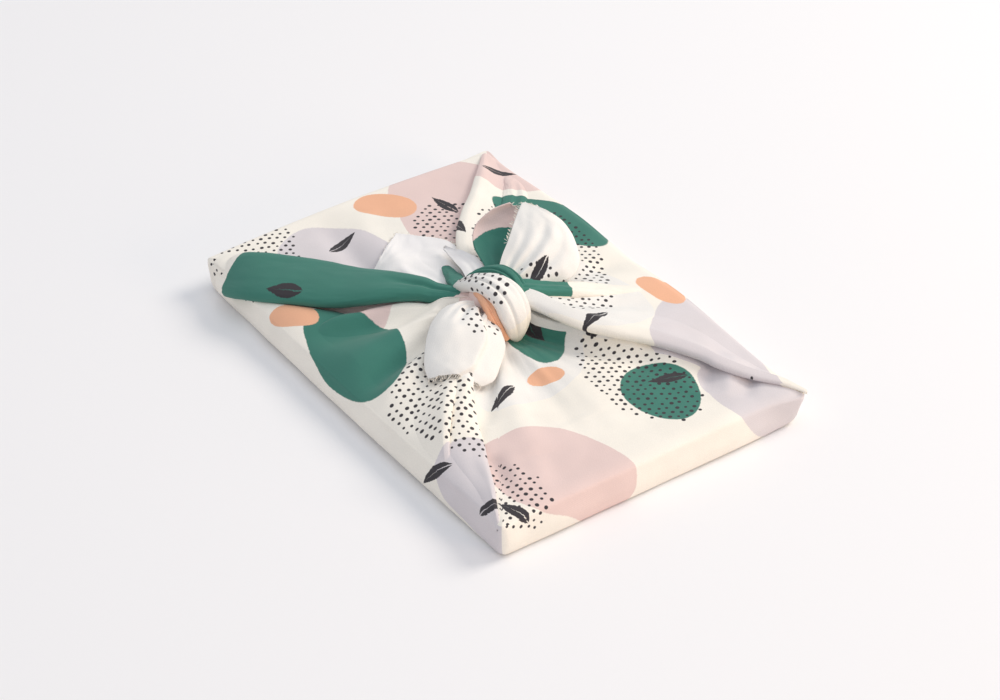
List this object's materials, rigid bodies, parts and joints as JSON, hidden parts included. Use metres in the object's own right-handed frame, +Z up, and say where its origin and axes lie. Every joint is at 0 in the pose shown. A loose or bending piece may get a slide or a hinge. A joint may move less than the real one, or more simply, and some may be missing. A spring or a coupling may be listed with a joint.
{
  "type": "furoshiki wrap tied round a book",
  "caption": "Flat book-shaped parcel wrapped in a square cotton cloth, its corners drawn over the top to a knot with free ends.",
  "frame": {"origin": "centre of the parcel's flat bottom", "axes": "+X along the parcel's long side, +Y along its short side, away from the smooth long side, +Z up through the knot"},
  "size_m": [0.2512, 0.1682, 0.0492],
  "materials": {
    "printed_cotton": "plain-weave cotton, printed on its face in cream, blush, lilac, green, peach and black, unprinted off-white on its reverse, dull and soft, with raw frayed edges"
  },
  "bodies": {
    "root": {"furoshiki_cloth": "printed_cotton"}
  },
  "joints": []
}
